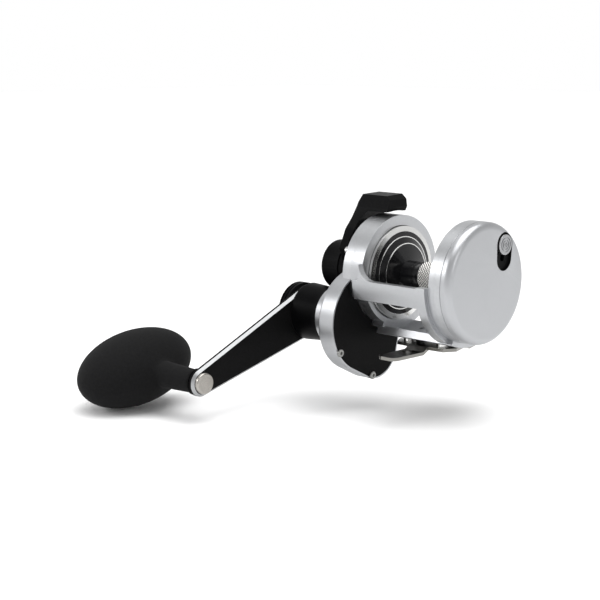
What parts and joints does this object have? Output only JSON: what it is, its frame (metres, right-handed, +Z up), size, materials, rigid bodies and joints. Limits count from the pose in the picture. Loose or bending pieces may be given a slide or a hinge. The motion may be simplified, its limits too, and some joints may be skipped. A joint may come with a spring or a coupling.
{
  "type": "trolling reel",
  "caption": "Lever-drag trolling reel with an open frame, silver side plates, a black spool, a long handle arm and an egg-shaped foam knob.",
  "frame": {"origin": "under the spool's middle, on the underside of the foot's tongues", "axes": "+X along the spool axis to the clicker side, -Y to the rod's tip, +Z up from the rod seat"},
  "size_m": [0.2221, 0.1974, 0.1343],
  "materials": {
    "satin_silver": "satin anodised",
    "black_metal": "semi-gloss black",
    "black_plastic": "matte",
    "bright_steel": "polished",
    "machined_steel": "machined",
    "gear_bronze": "machined",
    "drag_carbon": "woven carbon",
    "black_foam": "closed-cell foam, matte"
  },
  "bodies": {
    "frame": {"frame": "satin_silver", "right_side_plate": "satin_silver", "gear_cover": "black_metal", "gear_cover_screws": "bright_steel", "side_plate_screws": "bright_steel", "left_side_cap": "satin_silver", "left_cap_screws": "bright_steel", "clicker_slot_insert": "black_plastic", "reel_foot": "bright_steel", "foot_screws": "bright_steel", "foot_spacers": "bright_steel", "spool_shaft": "machined_steel", "left_shaft_bearing": "machined_steel", "pinion_bearing_inner": "machined_steel", "pinion_bearing_outer": "machined_steel", "gear_shaft_bearing_inner": "machined_steel", "gear_shaft_bearing_middle": "machined_steel", "gear_shaft_bearing_outer": "machined_steel", "roller_clutch": "machined_steel", "preset_springs": "machined_steel"},
    "spool": {"spool": "black_metal", "arbor_sleeve": "bright_steel", "spool_bearing_left": "machined_steel", "spool_bearing_right": "machined_steel", "click_ratchet": "machined_steel", "drag_washer": "drag_carbon"},
    "drive": {"pinion_cluster": "machined_steel", "drive_plate": "machined_steel"},
    "pressure": {"pressure_plate": "machined_steel"},
    "handle": {"gear_shaft": "machined_steel", "high_main_gear": "gear_bronze", "handle_hub": "black_metal", "handle_arm": "black_metal", "handle_nut": "black_metal", "knob_spindle": "bright_steel", "knob_collar": "black_metal"},
    "low_gear": {"low_main_gear": "gear_bronze"},
    "knob": {"knob_grip": "black_foam", "knob_bushings": "gear_bronze"},
    "shift": {"shift_button": "black_plastic"},
    "lever": {"drag_lever": "black_metal", "lever_cam": "machined_steel"},
    "follower": {"cam_follower": "machined_steel", "thrust_bearing": "machined_steel"},
    "preset": {"preset_knob": "black_metal"},
    "strike": {"strike_button": "bright_steel"},
    "clicker": {"clicker_button": "bright_steel", "click_tongue": "machined_steel"}
  },
  "joints": [
    {"name": "handle_crank", "type": "hinge", "parent": "frame", "child": "handle", "pos_m": [0, -0.0195, 0.0162], "axis": [1, 0, 0], "continuous": true},
    {"name": "pinion_spin", "type": "hinge", "parent": "frame", "child": "drive", "pos_m": [0, 0, 0.0455], "axis": [1, 0, 0], "continuous": true},
    {"name": "low_gear_spin", "type": "hinge", "parent": "frame", "child": "low_gear", "pos_m": [0, -0.0195, 0.0162], "axis": [1, 0, 0], "continuous": true},
    {"name": "drag_slip", "type": "hinge", "parent": "drive", "child": "spool", "pos_m": [0, 0, 0.0455], "axis": [1, 0, 0], "continuous": true},
    {"name": "pressure_slide", "type": "slide", "parent": "drive", "child": "pressure", "axis": [1, 0, 0], "range_m": [-0.0003, 0.00035]},
    {"name": "knob_spin", "type": "hinge", "parent": "handle", "child": "knob", "pos_m": [0, -0.113, -0.0164], "axis": [1, 0, 0], "continuous": true},
    {"name": "shift_press", "type": "slide", "parent": "handle", "child": "shift", "axis": [1, 0, 0], "range_m": [0, 0.003], "stiffness_N_per_m": 400, "springref_m": -0.002},
    {"name": "lever_swing", "type": "hinge", "parent": "frame", "child": "lever", "pos_m": [0, 0, 0.0455], "axis": [1, 0, 0], "range_deg": [-45, 55]},
    {"name": "follower_slide", "type": "slide", "parent": "frame", "child": "follower", "axis": [1, 0, 0], "range_m": [-0.0003, 0.00035]},
    {"name": "preset_turn", "type": "hinge", "parent": "frame", "child": "preset", "pos_m": [0, 0, 0.0455], "axis": [1, 0, 0], "range_deg": [-180, 180]},
    {"name": "strike_press", "type": "slide", "parent": "frame", "child": "strike", "axis": [1, 0, 0], "range_m": [0, 0.002], "stiffness_N_per_m": 400, "springref_m": -0.001},
    {"name": "clicker_slide", "type": "slide", "parent": "frame", "child": "clicker", "axis": [0, -0.0574, -0.9984], "range_m": [0, 0.0083]}
  ],
  "couplings": [
    {"joint": "pinion_spin", "follows": "handle_crank", "ratio": -4.8667},
    {"joint": "low_gear_spin", "follows": "handle_crank", "ratio": 2.1541},
    {"joint": "pressure_slide", "follows": "lever_swing", "m_per_rad": 0.00035},
    {"joint": "follower_slide", "follows": "lever_swing", "m_per_rad": 0.00035}
  ]
}
